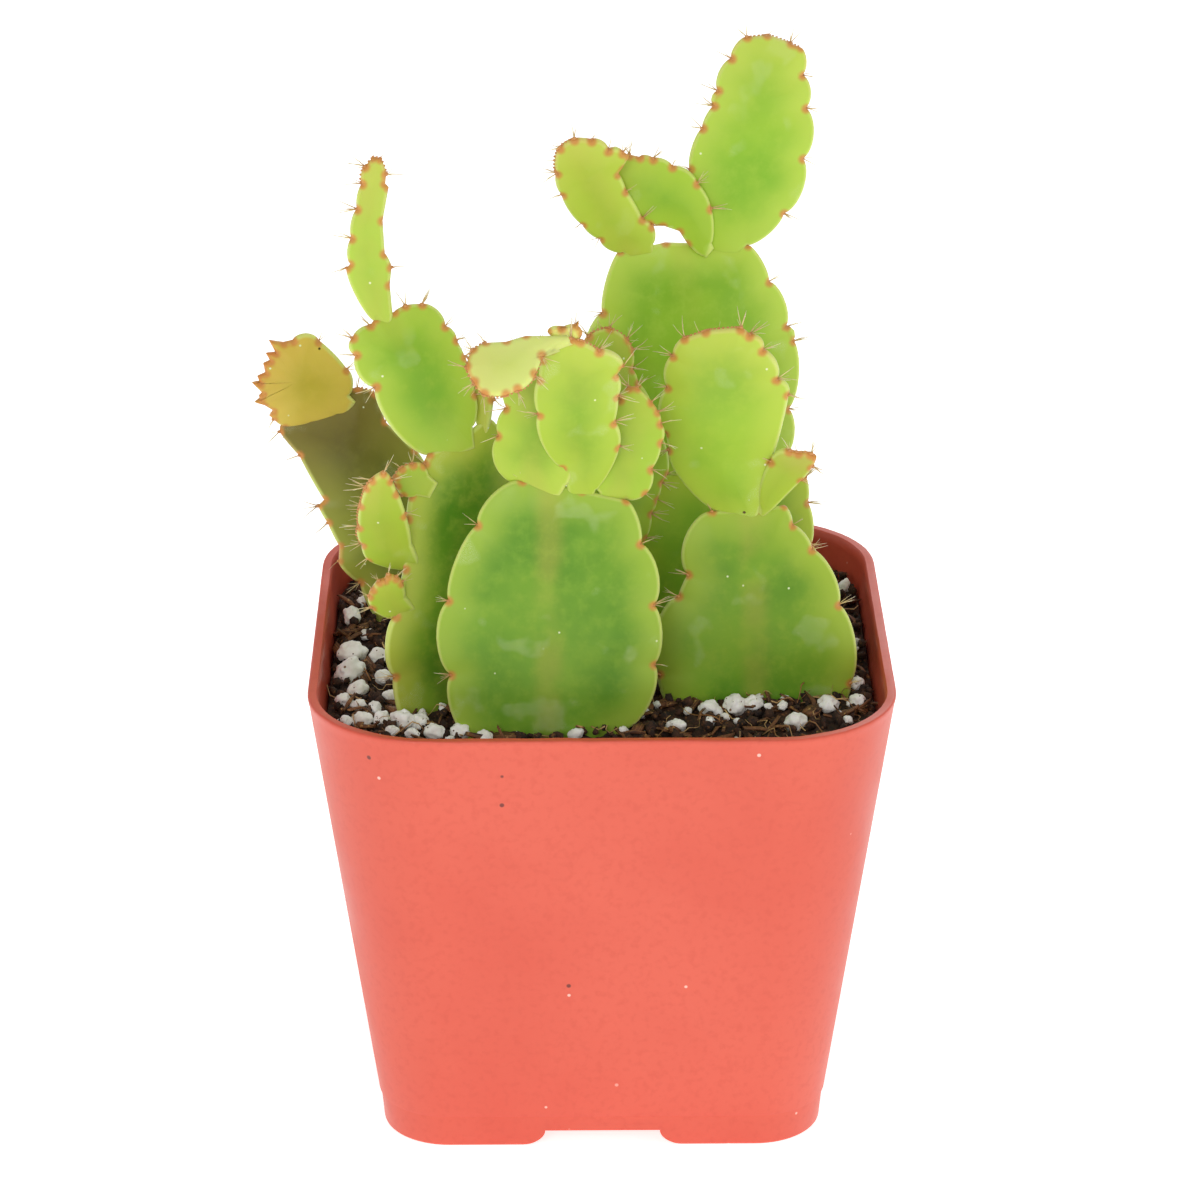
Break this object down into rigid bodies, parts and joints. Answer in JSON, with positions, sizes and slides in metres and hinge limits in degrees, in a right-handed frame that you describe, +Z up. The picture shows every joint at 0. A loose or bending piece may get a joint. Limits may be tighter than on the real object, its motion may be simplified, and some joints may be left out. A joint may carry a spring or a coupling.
{
  "type": "potted thanksgiving cactus",
  "caption": "Small holiday cactus with chains of flat scalloped pads edged with bristles, growing in a gritty mix in a tapered square plastic pot.",
  "frame": {"origin": "middle of the whole object's box, on the surface that the pot stands on", "axes": "+Z up; -Y is the side that the picture shows; +X is to the picture's right"},
  "size_m": [0.067, 0.06, 0.1119],
  "materials": {
    "pot_plastic": "moulded coral terracotta plastic with a soft sheen",
    "potting_mix": "dark bark, coir and dust with off-white perlite grains",
    "pad_skin": "fleshy waxy leaf-green skin, paler along the edge",
    "pad_skin_olive": "fleshy waxy skin flushed olive and golden",
    "perlite": "chalky off-white expanded glass with small dark pits",
    "bark": "dark brown fibrous bark with paler worn edges",
    "bristle": "dry cream to tan bristle"
  },
  "bodies": {
    "root": {"pot": "pot_plastic", "potting_mix": "potting_mix", "stem_front": "pad_skin", "stem_middle": "pad_skin", "stem_right": "pad_skin", "stem_tall": "pad_skin", "stem_left": "pad_skin", "stem_far_left": "pad_skin_olive"}
  },
  "joints": []
}
